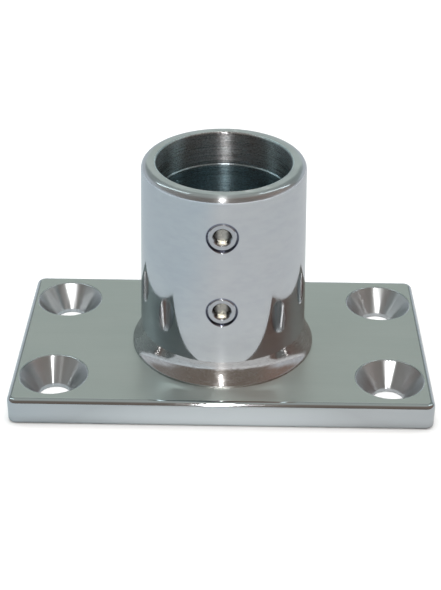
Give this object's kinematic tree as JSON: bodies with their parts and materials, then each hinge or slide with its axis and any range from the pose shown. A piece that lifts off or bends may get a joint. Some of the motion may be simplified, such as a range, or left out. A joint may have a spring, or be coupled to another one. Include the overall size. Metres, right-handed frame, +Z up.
{
  "type": "stanchion base",
  "caption": "Deck stanchion base: an upright round tube socket with hex set screws in its front, welded to a rectangular plate with countersunk screw holes.",
  "frame": {"origin": "middle of the plate's underside", "axes": "+Z up along the bore, X along the plate's long side, set screws on the -Y side"},
  "size_m": [0.0816, 0.0466, 0.045],
  "materials": {
    "plate_steel": "satin polished",
    "socket_steel": "mirror polished outside, turned bore",
    "weld_steel": "dressed and polished",
    "screw_steel": "machined"
  },
  "bodies": {
    "base": {"base_plate": "plate_steel", "socket": "socket_steel", "foot_weld": "weld_steel"},
    "upper_screw": {"upper_set_screw": "screw_steel"},
    "lower_screw": {"lower_set_screw": "screw_steel"}
  },
  "joints": [
    {"name": "upper_screw_slide", "type": "slide", "parent": "base", "child": "upper_screw", "axis": [0, -1, 0], "range_m": [-0.0015, 0.0022]},
    {"name": "lower_screw_slide", "type": "slide", "parent": "base", "child": "lower_screw", "axis": [0, -1, 0], "range_m": [-0.0015, 0.0022]}
  ]
}
